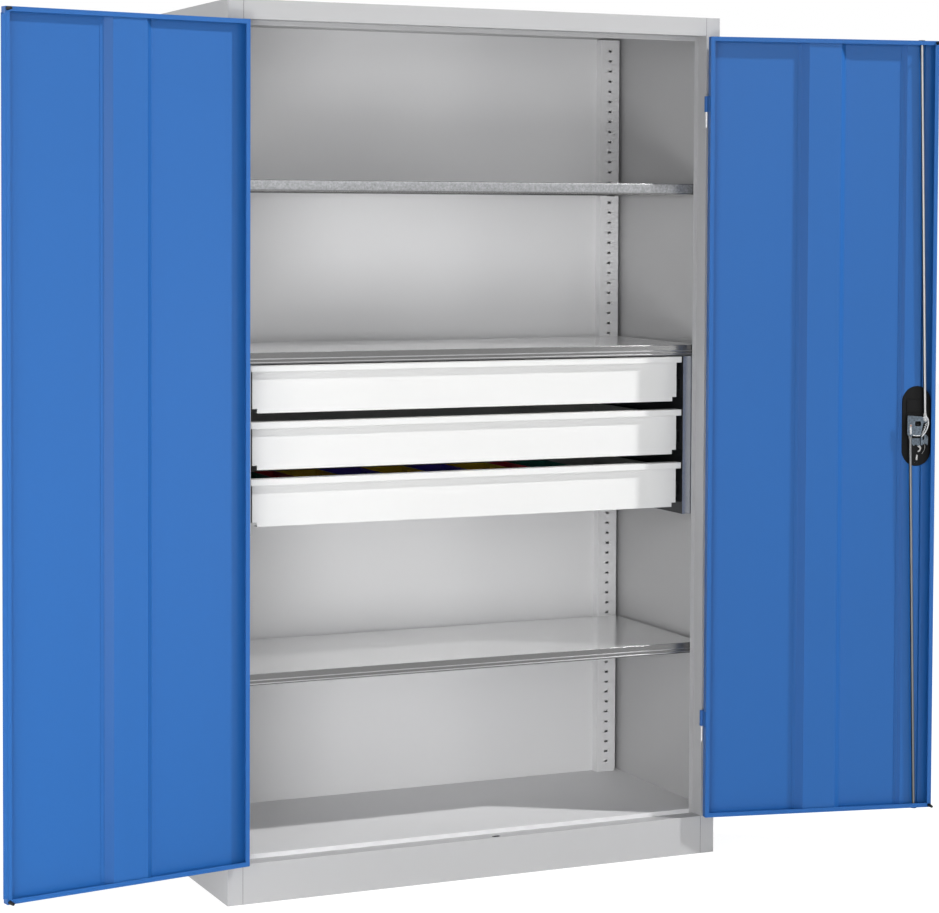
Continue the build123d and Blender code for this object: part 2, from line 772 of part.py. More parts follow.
def make_lock():
    """Recessed case, back cover, plate, turning handle, crank, key cylinder and screws."""
    neck = 2 * (case_rim - case_wall + case_cutout_play)
    dish = 2 * case_rim + 1
    dish_v = outer_v + dish_floor

    with BuildPart() as lock_case:
        with BuildSketch(door_face(1, bezel_v)):
            with Locations(lock_place(0, 0)):
                SlotOverall(case_length, case_width, 90)
        extrude(amount=-case_proud)
        bezel_face = lock_case.faces().sort_by(Axis(door_frame(1).origin, -door_frame(1).y_dir))[-1]
        fillet(bezel_face.edges(), case_edge_radius)
        with BuildSketch(door_face(1, outer_v)):
            with Locations(lock_place(0, 0)):
                SlotOverall(case_length - neck, case_width - neck, 90)
        extrude(amount=-(dish_floor + dish_sheet))
        with BuildSketch(door_face(1, bezel_v)):
            with Locations(lock_place(0, 0)):
                SlotOverall(case_length - dish, case_width - dish, 90)
        extrude(amount=-(dish_v - bezel_v), mode=Mode.SUBTRACT)
        with BuildSketch(door_face(1, dish_v)):
            with Locations(lock_place(0, 0)):
                Circle(spindle_radius + spindle_fit)
            with Locations(lock_place(0, -cylinder_drop)):
                Circle(cylinder_radius + cylinder_fit)
        extrude(amount=-dish_sheet, mode=Mode.SUBTRACT)
    save(lock_case, "lock_case")

    plate_places = [
        (i * (plate_size[0] / 2 - screw_inset), j * (plate_size[1] / 2 - screw_inset) - lock_plate_drop)
        for i in (-1, 1) for j in (-1, 1)
    ]
    with BuildPart() as lock_cover:
        with BuildSketch(door_face(1, skin_v)):
            with Locations(lock_place(0, 0)):
                SlotOverall(case_length, case_width, 90)
        extrude(amount=-cover_height)
        inner_face = lock_cover.faces().sort_by(Axis(door_frame(1).origin, door_frame(1).y_dir))[-1]
        fillet(inner_face.edges(), cover_edge_radius)
        with BuildSketch(door_face(1, skin_v)):
            with Locations(lock_place(0, 0)):
                SlotOverall(case_length - 2 * case_wall, case_width - 2 * case_wall, 90)
        extrude(amount=-(cover_height - dish_sheet), mode=Mode.SUBTRACT)
        with BuildSketch(door_face(1, cover_v)):
            with Locations(lock_place(-cover_pocket_shift, cover_pocket_rise + cover_pocket[1] / 4)):
                Rectangle(*cover_pocket)
        extrude(amount=cover_pocket_depth, mode=Mode.SUBTRACT)
        with BuildSketch(door_face(1, cover_v)):
            with Locations(lock_place(0, 0)):
                Circle(spindle_radius + cover_hole_play)
            with Locations(lock_place(0, -cylinder_drop)):
                Circle(cylinder_radius + cylinder_fit)
            for place in plate_places:
                with Locations(lock_place(*place)):
                    Circle(screw_radius + screw_fit)
        extrude(amount=dish_sheet, mode=Mode.SUBTRACT)
    save(lock_cover, "lock_cover")

    with BuildPart() as lock_plate:
        with BuildSketch(door_face(1, cover_v)):
            with Locations(lock_place(0, -lock_plate_drop)):
                RectangleRounded(*plate_size, plate_corner)
            with Locations(lock_place(0, 0)):
                Circle(spindle_radius + spindle_fit, mode=Mode.SUBTRACT)
            for place in plate_places:
                with Locations(lock_place(*place)):
                    Circle(screw_radius + screw_fit, mode=Mode.SUBTRACT)
        extrude(amount=-plate_thickness)
    save(lock_plate, "lock_plate")

    with BuildPart() as lock_screws:
        for place in plate_places:
            with BuildSketch(door_face(1, cover_v - dish_sheet)):
                with Locations(lock_place(*place)):
                    Circle(screw_radius)
            extrude(amount=-(dish_sheet + plate_thickness))
            with BuildSketch(door_face(1, plate_v)):
                with Locations(lock_place(*place)):
                    Circle(screw_head_radius)
            extrude(amount=-screw_head_height)
    save(lock_screws, "lock_screws")

    with BuildPart() as handle:
        with BuildSketch(door_face(1, handle_v)):
            with Locations(Location((*lock_place(0, 0), 0), 180 - crank_rest_angle)):
                SlotOverall(handle_length, handle_width)
        extrude(amount=handle_thickness)
        outer_face = handle.faces().sort_by(Axis(door_frame(1).origin, -door_frame(1).y_dir))[-1]
        fillet(outer_face.edges(), handle_edge_radius)
        with BuildSketch(door_face(1, handle_v)):
            with Locations(lock_place(0, 0)):
                Circle(handle_hub_radius)
        extrude(amount=-(dish_v - handle_hub_gap - handle_v))
        with BuildSketch(door_face(1, dish_v - handle_hub_gap)):
            with Locations(lock_place(0, 0)):
                Circle(spindle_radius)
        extrude(amount=-(crank_v + crank_sheet - dish_v + handle_hub_gap))
        with BuildSketch(door_face(1, crank_v + crank_sheet)):
            with Locations(lock_place(0, 0)):
                Circle(spindle_head_radius)
        extrude(amount=-spindle_head_height)
    save(handle, "lock_handle")

    with BuildPart() as crank:
        with BuildSketch(door_face(1, crank_v)):
            with BuildSketch(mode=Mode.PRIVATE) as lobes:
                with Locations(lock_place(0, 0)):
                    Circle(crank_hub)
                for end in (-1, 1):
                    with Locations(lock_place(*crank_pin(end))):
                        Circle(crank_lobe)
            make_hull(lobes.edges())
            with Locations(lock_place(0, 0)):
                Circle(spindle_radius + hinge_fit / 2, mode=Mode.SUBTRACT)
        extrude(amount=-crank_sheet)
        for end in (-1, 1):
            with BuildSketch(door_face(1, crank_v)):
                with Locations(lock_place(*crank_pin(end))):
                    Circle(crank_pin_radius)
            extrude(amount=crank_gap + rod_eye_sheet)
    save(crank, "lock_crank")

    cylinder_place = lock_place(0, -cylinder_drop)
    front_v = bezel_v + cylinder_sink
    with BuildPart() as key_cylinder:
        with BuildSketch(door_face(1, front_v)):
            with Locations(cylinder_place):
                Circle(cylinder_radius)
                Circle(barrel_radius + spindle_fit, mode=Mode.SUBTRACT)
        extrude(amount=-(cover_v - front_v))
    save(key_cylinder, "key_cylinder")

    with BuildPart() as key_barrel:
        with BuildSketch(door_face(1, front_v)):
            with Locations(cylinder_place):
                Circle(barrel_radius)
        extrude(amount=-(cover_v - front_v))
        with BuildSketch(door_face(1, front_v)):
            with Locations(cylinder_place):
                Rectangle(*keyway)
        extrude(amount=-keyway_depth, mode=Mode.SUBTRACT)
    save(key_barrel, "key_barrel")


os.makedirs("parts", exist_ok=True)
make_carcass()
make_uprights()
make_shelves()
make_drawers()
make_bins()
make_doors()
make_hinges()
make_rods()
make_lock()
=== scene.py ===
# %% [markdown]
# # A steel cupboard with wing doors
# The cupboard is folded from painted steel sheet. Its doors stand open, so the picture shows
# the inside: three zinc-coated shelves, three white drawers, small-parts bins, and on the right
# door the lock with its two long rods. The CAD model already has the true shapes and sizes, so
# this lesson loads it first, gives every surface a finish made of nodes, and then adds the small
# moulded and cast pieces that are too soft in form for the CAD.

# %% Load the cupboard
import json
import math

import bmesh
import bpy
from mathutils import Matrix, Vector


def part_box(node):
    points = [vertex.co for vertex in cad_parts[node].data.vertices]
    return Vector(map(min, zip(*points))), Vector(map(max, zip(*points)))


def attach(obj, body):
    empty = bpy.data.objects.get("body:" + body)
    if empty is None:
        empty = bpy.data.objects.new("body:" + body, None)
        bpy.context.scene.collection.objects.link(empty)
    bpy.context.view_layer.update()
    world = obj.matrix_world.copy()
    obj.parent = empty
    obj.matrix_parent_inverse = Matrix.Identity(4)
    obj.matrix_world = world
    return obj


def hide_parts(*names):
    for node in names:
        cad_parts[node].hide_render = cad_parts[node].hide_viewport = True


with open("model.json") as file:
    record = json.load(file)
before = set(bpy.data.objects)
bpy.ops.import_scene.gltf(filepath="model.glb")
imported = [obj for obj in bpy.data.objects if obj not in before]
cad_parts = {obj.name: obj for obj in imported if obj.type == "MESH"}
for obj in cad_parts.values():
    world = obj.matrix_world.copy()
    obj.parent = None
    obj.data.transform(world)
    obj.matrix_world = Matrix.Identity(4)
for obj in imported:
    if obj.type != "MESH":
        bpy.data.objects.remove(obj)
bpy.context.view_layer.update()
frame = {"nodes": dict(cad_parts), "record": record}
steel_parts = frame["nodes"]

# %% [markdown]
# ## Shader maths as plain Python
# A finish is a small network of nodes. Each one could be wired by hand in the shader editor, or
# written out link by link, but sums such as 0.4 + 0.1 * cloud would then take many lines. So one
# class wraps a socket, and its operators add the Math nodes. Colours don't go through Math
# nodes, which would turn them grey; they are mixed by a Mix node instead.

# %% A socket that can stand in a sum
class Signal:
    """An output socket of a finish. Arithmetic on it adds Math nodes."""

    def __init__(self, finish, socket):
        self.finish = finish
        self.socket = socket

    def __add__(self, other):
        return self.finish.maths("ADD", self, other)

    def __radd__(self, other):
        return self.finish.maths("ADD", other, self)

    def __sub__(self, other):
        return self.finish.maths("SUBTRACT", self, other)

    def __rmul__(self, other):
        return self.finish.maths("MULTIPLY", other, self)


class Outputs:
    """The outputs of a node, by name or number."""

    def __init__(self, finish, node):
        self.finish = finish
        self.node = node

    def __getitem__(self, key):
        return Signal(self.finish, self.node.outputs[key])


print("sums of sockets can be written out")

# %% [markdown]
# ## One way to add any node
# Every finish ends in one Principled shader and starts from the coordinates of the piece at
# rest, in metres. These don't slide when a door swings or a drawer is pulled out, and a pattern
# of 5 mm is a scale of 200. Settings, such as which sum a Math node does, are made before the
# sockets are filled, because some settings change which sockets a node has.

# %% A finish and its nodes
class Finish:
    """The nodes of a material or of the world, added one by one."""

    def __init__(self, owner):
        self.owner = owner
        owner.use_nodes = True
        self.tree = owner.node_tree
        self.tree.nodes.clear()

    def add(self, kind, settings=None, inputs=None):
        node = self.tree.nodes.new(kind)
        node.location = (220 * (len(self.tree.nodes) % 6), -260 * (len(self.tree.nodes) // 6))
        for key, value in (settings or {}).items():
            setattr(node, key, value)
        pairs = enumerate(inputs) if isinstance(inputs, list) else (inputs or {}).items()
        for key, value in pairs:
            if isinstance(value, Signal):
                self.tree.links.new(value.socket, node.inputs[key])
            else:
                node.inputs[key].default_value = value
        return Outputs(self, node)

    def maths(self, operation, *values, clamp=False):
        """A Math node. With clamp, its value is kept from 0 to 1."""
        settings = {"operation": operation, "use_clamp": clamp}
        return self.add("ShaderNodeMath", settings, list(values))["Value"]

    def start(self):
        """The coordinates that a finish is laid out in, and the way that its surface faces."""
        coordinates = self.add("ShaderNodeTexCoord")
        self.place, self.facing = coordinates["Object"], coordinates["Normal"]
        return self

    def stretched(self, x, y, z):
        """The piece's coordinates, scaled along each axis."""
        values = [self.place, (x, y, z)]
        return self.add("ShaderNodeVectorMath", {"operation": "MULTIPLY"}, values)["Vector"]

    def side(self, axis):
        """How far a face looks along an axis, from -1 to 1."""
        return self.add("ShaderNodeSeparateXYZ", None, [self.facing])[axis]

    def noise(self, scale, detail=2.0, place=None, roughness=0.5):
        sockets = {
            "Vector": place or self.place, "Scale": scale, "Detail": detail, "Roughness": roughness,
        }
        return self.add("ShaderNodeTexNoise", None, sockets)["Fac"]

    def blend(self, mask, first, second):
        """A colour between two colours."""
        return self.add("ShaderNodeMix", {"data_type": "RGBA"}, {0: mask, 6: first, 7: second})[2]

    def bump(self, height, strength, distance):
        sockets = {"Height": height, "Strength": strength, "Distance": distance}
        return self.add("ShaderNodeBump", None, sockets)["Normal"]

    def close(self, **sockets):
        """Ends the finish in one Principled shader."""
        inputs = {name.replace("_", " "): value for name, value in sockets.items()}
        shader = self.add("ShaderNodeBsdfPrincipled", None, inputs)["BSDF"]
        self.add("ShaderNodeOutputMaterial", None, {"Surface": shader})
        print("finish", self.owner.name, "with", len(self.tree.nodes), "nodes")
        return self.owner


def new_finish(name):
    """A material with nothing in it but its coordinates."""
    return Finish(bpy.data.materials.new(name)).start()


def paint(red, green, blue):
    """A colour read from a picture, 0 to 255, as the light values that a shader wants."""
    shares = [v / 255 for v in (red, green, blue)]
    return (*[((v + 0.055) / 1.055) ** 2.4 if v > 0.04 else v / 12.92 for v in shares], 1.0)


def toned(colour, share):
    """The same colour with a share of its light, darker below 1 and paler above it."""
    return (*[min(1.0, v * share) for v in colour[:3]], 1.0)


print("a paint of 128 is a light value of", round(paint(128, 128, 128)[0], 3))

# %% [markdown]
# ## Powder coat
# The carcass, doors and drawers are sprayed with powder that melts in an oven. It leaves a
# satin skin with a faint orange peel, waves about 2 mm long and a few microns high. A real
# displacement would need millions of faces, so a bump does it. Two slow clouds change the
# gloss and the shade a little, as on any large coated panel, and tiny specks keep the colour
# from looking like plain plastic. Inside, the back wall with its posts and the floor have the
# same coat in two paler greys. That paleness is painted light, which brightens the shaded inside.

# %% The powder coat
def powder_coat(name, colour, roughness, peel, index):
    finish = new_finish(name)
    cloud = finish.noise(2.6, 3.0)
    specks = finish.noise(1500.0, 1.0)
    waves = finish.noise(430.0, 2.0)
    shade = finish.blend(0.6 * cloud + 0.4 * specks, toned(colour, 0.95), toned(colour, 1.04))
    gloss = roughness + 0.09 * (cloud - 0.5) + 0.05 * (waves - 0.5)
    height = 0.8 * waves + 0.2 * specks
    return finish.close(
        Base_Color=shade, Roughness=gloss, Normal=finish.bump(height, peel, 0.0004), IOR=index
    )


outer_grey = paint(175, 175, 176)
finishes = {
    "grey_paint": powder_coat(
        "light_grey_powder_coat", outer_grey, roughness=0.44, peel=0.16, index=1.45),
    # the same coat in paler greys inside: painted light for the shaded inside
    "inner_grey_paint": powder_coat(
        "inner_coat_painted_light", paint(221, 221, 222), roughness=0.46, peel=0.16, index=1.45),
    "floor_grey_paint": powder_coat(
        "floor_coat_painted_light", paint(213, 213, 214), roughness=0.50, peel=0.16, index=1.40),
    "blue_paint": powder_coat(
        "blue_powder_coat", paint(30, 91, 159), roughness=0.40, peel=0.14, index=1.38),
    "white_paint": powder_coat(
        "white_powder_coat", paint(216, 216, 215), roughness=0.42, peel=0.12, index=1.45),
}

# %% [markdown]
# ## Zinc-coated sheet
# The shelves are cut from zinc-coated strip. It is smooth enough to mirror the uprights softly,
# with long faint lines along the way it was rolled and a spangle that hardly shows. Cell noise
# gives the spangle, and noise that is stretched along one axis gives the lines. Faces that look
# forwards or to the sides get painted shade: the shelves' front lips and the flanks in the dark
# gaps beside the drawers. The side that a face looks to sets how much of its light is kept.

# %% Rolled zinc sheet
def forward_share(finish):
    """How far a face looks forwards, from 0 to 1."""
    return finish.maths("MULTIPLY", finish.side("Y"), -1.1, clamp=True)


def flank_share(finish):
    """How far a face looks to either side, from 0 to 1."""
    sideways = finish.maths("ABSOLUTE", finish.side("X"))
    return finish.maths("MULTIPLY", sideways - 0.45, 2.2, clamp=True)


def zinc_sheet(name, tone, front, flank):
    """Rolled sheet, whose front and flanks get painted shade and keep only a share of its light."""
    finish = new_finish(name)
    cells = finish.add("ShaderNodeTexVoronoi", None, {"Vector": finish.place, "Scale": 95.0})["Color"]
    crystal = finish.add("ShaderNodeSeparateColor", None, [cells])["Red"]
    fine = finish.noise(1.0, 3.0, finish.stretched(1.6, 300.0, 300.0))
    broad = finish.noise(1.0, 2.0, finish.stretched(0.9, 26.0, 26.0))
    mottle = 0.08 * crystal + 0.42 * fine + 0.5 * broad
    shade = finish.blend(mottle, toned(tone, 0.84), toned(tone, 1.06))
    # painted shade: faces that look forwards, then those that look sideways, keep a share of the light
    shade = finish.blend(forward_share(finish), shade, toned(tone, front))
    shade = finish.blend(flank_share(finish), shade, toned(tone, flank))
    gloss = 0.15 + 0.05 * fine + 0.05 * broad + 0.02 * crystal
    height = 0.7 * fine + 0.3 * broad
    return finish.close(
        Base_Color=shade, Metallic=0.75, Roughness=gloss, Normal=finish.bump(height, 0.02, 0.0002)
    )


# the shelves' front lips get painted shade
finishes["zinc_sheet"] = zinc_sheet(
    "rolled_zinc_sheet", paint(246, 246, 246), front=0.17, flank=0.5)
# the side plates' flanks are nearly black: painted shade of the gaps beside the drawers
finishes["plate_zinc"] = zinc_sheet(
    "zinc_side_plate", paint(212, 216, 224), front=0.62, flank=0.06)

# %% [markdown]
# ## Drawn steel
# The rods, pins and runners are plated and drawn, so their lines are finer than those of the
# sheet and run along the bar. The flanks of a round bar get painted shade, and so does the
# underside of the beads that are rolled into the shelves. The lower rod has a darker tone than
# the upper one. On the post hinges the leaf is painted grey, and a mask of which way each face
# looks puts plated steel on the front of its knuckle as a painted highlight, so one mask goes
# from paint to steel.

# %% Rods, runners, beads and knuckles
def drawn_lines(finish, along):
    """Fine scratches that run along one axis."""
    scales = [14.0 if axis == along else 900.0 for axis in "xyz"]
    return finish.noise(1.0, 3.0, finish.stretched(*scales))


def drawn_steel(name, tone, along, roughness, underside=1.0):
    """Steel drawn along an axis, with painted shade on its flanks. Faces that look down keep only a
    share of its light, as painted shade.
    """
    finish = new_finish(name)
    lines = drawn_lines(finish, along)
    cloud = finish.noise(22.0, 3.0)
    shade = finish.blend(0.55 * lines + 0.45 * cloud, toned(tone, 0.82), toned(tone, 1.06))
    # painted shade on the flanks of bars, runners and beads
    shade = finish.blend(flank_share(finish), shade, toned(tone, 0.22))
    # painted shade on faces that look down
    if underside < 1.0:
        down = finish.maths("MULTIPLY", finish.side("Z"), -1.8, clamp=True)
        shade = finish.blend(down, shade, toned(tone, underside))
    gloss = roughness + 0.12 * (lines - 0.5) + 0.10 * (cloud - 0.5)
    return finish.close(
        Base_Color=shade, Metallic=1.0, Roughness=gloss, Normal=finish.bump(lines, 0.12, 0.0002)
    )


def knuckle_with_painted_highlight(name, leaf_tone, tone):
    """Paint on the leaf, and plated steel on the front of its knuckle as a painted highlight."""
    finish = new_finish(name)
    lines = drawn_lines(finish, "z")
    cloud = finish.noise(22.0, 3.0)
    # painted highlight: the knuckle is metal only where it faces forwards
    painted_highlight_share = forward_share(finish)
    steel = finish.blend(0.5 * lines + 0.5 * cloud, toned(tone, 0.86), toned(tone, 1.05))
    return finish.close(
        Base_Color=finish.blend(painted_highlight_share, leaf_tone, steel), Metallic=0.95 * painted_highlight_share,
        Roughness=0.36 + 0.10 * (lines - 0.5), Normal=finish.bump(lines, 0.10, 0.0002),
    )


bright, runner, dull = paint(164, 164, 164), paint(132, 133, 135), paint(116, 117, 118)
lip, knuckle = paint(140, 140, 141), paint(176, 176, 178)
finishes["bright_steel"] = drawn_steel("plated_steel_drawn_upright", bright, "z", 0.34)
# the lower rod: the same drawn steel in a darker tone
finishes["dull_steel"] = drawn_steel("plated_steel_darker_tone", dull, "z", 0.36)
finishes["runner_steel"] = drawn_steel("plated_steel_rolled_lengthways", runner, "y", 0.34)
# the shelves' beads: painted shade on their undersides
finishes["rolled_lip"] = drawn_steel("zinc_rolled_along_the_lip", lip, "x", 0.34, underside=0.3)
finishes["post_leaf"] = knuckle_with_painted_highlight("leaf_paint_knuckle_painted_highlight", outer_grey, knuckle)

# %% [markdown]
# ## Cast zinc
# The lock's plates are cast, so they have no direction. Their skin is grainy, with cloudy
# patches that swing from a deep to a pale share of the tone: partly the casting's own mottle,
# where the metal cooled at another speed, and partly painted glints for the highlights on the
# bright lever and pins. The coppered rivet and the broad bead of the upper shelf, which shows
# its spangle, are the same finish with other tones.

# %% Castings, the coppered rivet and the spangled bead
def cast_zinc(name, tone, deep=0.3, pale=1.6):
    """A cast skin that wanders between a deep and a pale share of its tone, partly as painted glints.
    """
    finish = new_finish(name)
    skin = finish.noise(520.0, 4.0, roughness=0.65)
    cloud = finish.noise(230.0, 3.0)
    # partly the casting's mottle, partly painted glints
    patches_and_painted_glints = 2.2 * (0.35 * skin + 0.65 * cloud) - 0.6
    shade = finish.blend(patches_and_painted_glints, toned(tone, deep), toned(tone, pale))
    gloss = 0.34 + 0.18 * skin + 0.08 * (cloud - 0.5)
    return finish.close(
        Base_Color=shade, Metallic=0.95, Roughness=gloss, Normal=finish.bump(skin, 0.22, 0.0003)
    )


finishes["zinc_cast"] = cast_zinc("cast_zinc", paint(176, 178, 180))
finishes["dull_cast"] = cast_zinc("dull_grey_casting", paint(88, 97, 106))
finishes["copper"] = cast_zinc("coppered_rivet", paint(150, 104, 84))
finishes["spangled_lip"] = cast_zinc("spangled_zinc_lip", paint(142, 143, 145), 0.5, 1.25)

# %% [markdown]
# ## Moulded plastic and rubber
# The lock case is moulded in a spark-eroded tool, so its skin is a fine leathery grain, and the
# bins are polished and pick up soft flow marks. Both are the same finish with other numbers.
# Rubber, and the painted shadow strips in the seams, are duller and softer in their grain.

# %% Moulded finishes
def moulded(name, colour, roughness, grain, depth, flow, index):
    finish = new_finish(name)
    skin = finish.noise(grain, 3.0, roughness=0.6)
    marks = finish.noise(1.0, 2.0, finish.stretched(16.0, 16.0, 5.0))
    streaks = 0.7 * marks + 0.3 * skin
    shade = finish.blend(streaks, toned(colour, 1 - flow), toned(colour, 1 + flow))
    gloss = roughness + 0.10 * (skin - 0.5) + 0.10 * (marks - 0.5)
    return finish.close(
        Base_Color=shade, Roughness=gloss, Normal=finish.bump(skin, depth, 0.0003), IOR=index
    )


finishes["black_plastic"] = moulded(
    "black_moulded_plastic", paint(11, 11, 12), 0.50, grain=900.0, depth=0.25, flow=0.10, index=1.22)
finishes["painted_seam_shadow"] = moulded(
    "painted_seam_shadow", paint(96, 96, 98), 0.60, grain=500.0, depth=0.10, flow=0.08, index=1.3)
finishes["black_rubber"] = moulded(
    "black_rubber", paint(14, 14, 14), 0.62, grain=500.0, depth=0.15, flow=0.12, index=1.3)
bin_plastics = {
    "green": ("dark_green_bin_plastic", paint(20, 128, 108)),
    "red": ("red_bin_plastic", paint(238, 48, 74)),
    "yellow": ("yellow_bin_plastic", paint(252, 210, 40)),
    "blue": ("violet_blue_bin_plastic", paint(88, 70, 205)),
}
for colour, (name, tone) in bin_plastics.items():
    finishes[f"{colour}_plastic"] = moulded(
        name, tone, 0.34, grain=700.0, depth=0.06, flow=0.10, index=1.45)

# %% [markdown]
# ## Every CAD piece gets its finish
# The record names one material slot for each node, and most nodes simply take the finish of
# that name. A few take another: the walls and floor inside get the paler coats of painted light,
# the plates beside the drawers their own zinc, the key cylinder black plastic, the lower rod a
# darker tone, and the post hinges a knuckle with a painted highlight.
# The runners were rolled lengthways, so their lines run front to back.

# %% Dress the CAD nodes
own_finish = {
    "back_panel": "inner_grey_paint", "upright_rear_left": "inner_grey_paint",
    "upright_rear_right": "inner_grey_paint", "floor_panel": "floor_grey_paint",
    "drawer_plate_left": "plate_zinc", "drawer_plate_right": "plate_zinc",
    "key_cylinder": "black_plastic", "key_barrel": "black_plastic", "lower_rod": "dull_steel",
    "left_hinge_post_leaves": "post_leaf", "right_hinge_post_leaves": "post_leaf",
}
for part in frame["record"]["subparts"]:
    name = part["node"]
    finish = own_finish.get(name, part["material_slot"])
    if name.startswith("runner_"):
        finish = "runner_steel"
    materials = steel_parts[name].data.materials
    materials.clear()
    materials.append(finishes[finish])
print("dressed", len(steel_parts), "nodes in", len(finishes), "finishes")

# %% [markdown]
# ## Soft edges on folded sheet
# Sheet steel never folds to a knife edge: the outer side of each bend is a small radius, and it
# is this radius that catches a thin line of light along every post, shelf and drawer. Modelling
# the radii in the CAD would make it heavy. A Bevel modifier rounds them at render time instead,
# by about half a millimetre, as thin sheet folds. The loaded meshes are split along their sharp
# edges, so a Weld modifier joins them first.

# %% Round the folds
MM = 0.001


def soften(node, radius):
    """Rounds a CAD node's edges without touching its mesh. The radius is in millimetres."""
    weld = node.modifiers.new("join_split_edges", "WELD")
    weld.merge_threshold = 0.00002
    fold = node.modifiers.new("fold_radius", "BEVEL")
    fold.width = radius * MM
    fold.segments = 2
    fold.limit_method = "ANGLE"
    fold.angle_limit = math.radians(40)
    fold.harden_normals = True


fold_radii = {
    0.55: ["left_side_panel", "right_side_panel", "roof_panel", "plinth_panel"],
    0.45: [
        "left_door_skin", "right_door_skin", "shelf_lower", "shelf_middle", "shelf_upper",
        "drawer_front_top", "drawer_front_middle", "drawer_front_bottom",
    ],
    0.4: ["left_door_stiffener", "right_door_stiffener"],
}
for radius, names in fold_radii.items():
    for name in names:
        soften(steel_parts[name], radius)
    print("folds of", len(names), "nodes rounded by", radius, "mm")

# %% [markdown]
# ## The plane of the lock
# The lock is laid out in its own plane: the first axis runs across the door to its free edge,
# the second runs up, and the third comes out of the inner side of the door. One matrix places
# that plane on the open door, so every lock piece can be drawn flat in millimetres. Each piece
# is then told which body it moves with, and which plain CAD nodes it stands for.

# %% The lock's plane and a way to add pieces
door_angle = math.radians(168)
hinge_line = Vector((0.5635, -0.0185, 0.0))
spindle_from_hinge, spindle_height = 0.520, 0.998
across = Vector((-math.cos(door_angle), -math.sin(door_angle), 0.0))
upwards = Vector((0.0, 0.0, 1.0))
inwards = Vector((-math.sin(door_angle), math.cos(door_angle), 0.0))
spindle = hinge_line + across * spindle_from_hinge + upwards * spindle_height
axes = Matrix((across, upwards, inwards)).transposed().to_4x4()
lock_plane = Matrix.Translation(spindle) @ axes


def add_piece(name, mesh, finish, body, stands_for=(), slot=None):
    """Puts a mesh in the scene as a piece that moves with a body."""
    mesh.name = name
    mesh.shade_smooth()
    mesh.set_sharp_from_angle(angle=math.radians(38))
    mesh.materials.clear()
    mesh.materials.append(finishes[finish])
    piece = bpy.data.objects.new(name, mesh)
    bpy.context.scene.collection.objects.link(piece)
    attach(piece, body)
    if stands_for:
        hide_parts(*stands_for)
    print(name, len(mesh.polygons), "faces, rides on", body)


def add_lock_piece(name, mesh, *details):
    """The same for a mesh that was drawn in the lock's plane."""
    mesh.transform(lock_plane)
    add_piece(name, mesh, *details)


print("the lock's plane is at", [round(v, 4) for v in spindle])

# %% [markdown]
# ## Stampings and wires
# A flat stamping is a 2D curve with an extrusion and a small bevel, which gives clean rounded
# edges around holes too. A bent wire is a curve with a round section. Both could be built face
# by face, but a curve needs only its outline. It is turned into a mesh at the end.

# %% Curves that become meshes
def curve_mesh(outlines, closed, settings):
    """The mesh of a curve with one polyline spline for each outline, in millimetres."""
    curve = bpy.data.curves.new("outline", "CURVE")
    for key, value in settings.items():
        setattr(curve, key, value)
    for outline in outlines:
        spline = curve.splines.new("POLY")
        spline.points.add(len(outline) - 1)
        for point, place in zip(spline.points, outline):
            point.co = (*[v * MM for v in place], *[0.0] * (3 - len(place)), 1.0)
        spline.use_cyclic_u = closed
    holder = bpy.data.objects.new("outline", curve)
    mesh = bpy.data.meshes.new_from_object(holder)
    bpy.data.objects.remove(holder)
    return mesh


def stamping(outlines, low, high, edge=0.3):
    """A flat plate between two heights, with its edges rounded. Later outlines are holes."""
    settings = {
        "dimensions": "2D", "fill_mode": "BOTH", "extrude": ((high - low) / 2 - edge) * MM,
        "bevel_depth": edge * MM, "bevel_resolution": 2, "offset": -edge * MM,
    }
    mesh = curve_mesh(outlines, True, settings)
    mesh.transform(Matrix.Translation((0.0, 0.0, (low + high) / 2 * MM)))
    return mesh


def wire(path, radius):
    """A round wire along a path of points in millimetres."""
    settings = {
        "dimensions": "3D", "bevel_depth": radius * MM, "bevel_resolution": 4, "use_fill_caps": True,
    }
    return curve_mesh([path], False, settings)


print("stampings and wires can be made")

# %% [markdown]
# ## Outlines and paths
# Stamped and moulded parts have corners with a radius. So an outline is given by its corners and
# the radius of each, and one function turns every corner into an arc. Wires bend softly, so
# their path is a curve that passes through a few given points.

# %% Outlines and smooth paths
def rounded(corners, steps=6):
    """An outline through corners (x, y, radius), each turned into an arc."""
    outline = []
    befores, afters = corners[-1:] + corners[:-1], corners[1:] + corners[:1]
    for before, corner, after in zip(befores, corners, afters):
        tip, radius = Vector(corner[:2]), corner[2]
        back = (Vector(before[:2]) - tip).normalized()
        on = (Vector(after[:2]) - tip).normalized()
        half = back.angle(on) / 2
        middle = tip + (back + on).normalized() * radius / math.sin(half)
        start = tip + back * radius / math.tan(half) - middle
        end = tip + on * radius / math.tan(half) - middle
        turn = start.angle_signed(end)
        for i in range(steps + 1):
            outline.append(tuple(middle + Matrix.Rotation(-turn * i / steps, 2) @ start))
    return outline


def rectangle(x0, y0, x1, y1, radius):
    """A rectangle between two opposite corners, with all four turned into arcs."""
    return rounded([(x0, y0, radius), (x1, y0, radius), (x1, y1, radius), (x0, y1, radius)])


def disc(x, y, radius, steps=28):
    """A circle as an outline."""
    angles = [math.tau * i / steps for i in range(steps)]
    return [(x + radius * math.cos(a), y + radius * math.sin(a)) for a in angles]


def smooth_path(points, steps=8):
    """Points on a curve that passes through all the given points."""
    path = []
    last = len(points) - 1
    for i in range(last):
        a, b, c, d = [Vector(points[max(0, min(last, j))]) for j in (i - 1, i, i + 1, i + 2)]
        bend, twist = 2 * a - 5 * b + 4 * c - d, 3 * b - a - 3 * c + d
        for k in range(steps):
            t = k / steps
            path.append(tuple(0.5 * (2 * b + (c - a) * t + bend * t * t + twist * t ** 3)))
    return path + [tuple(points[-1])]


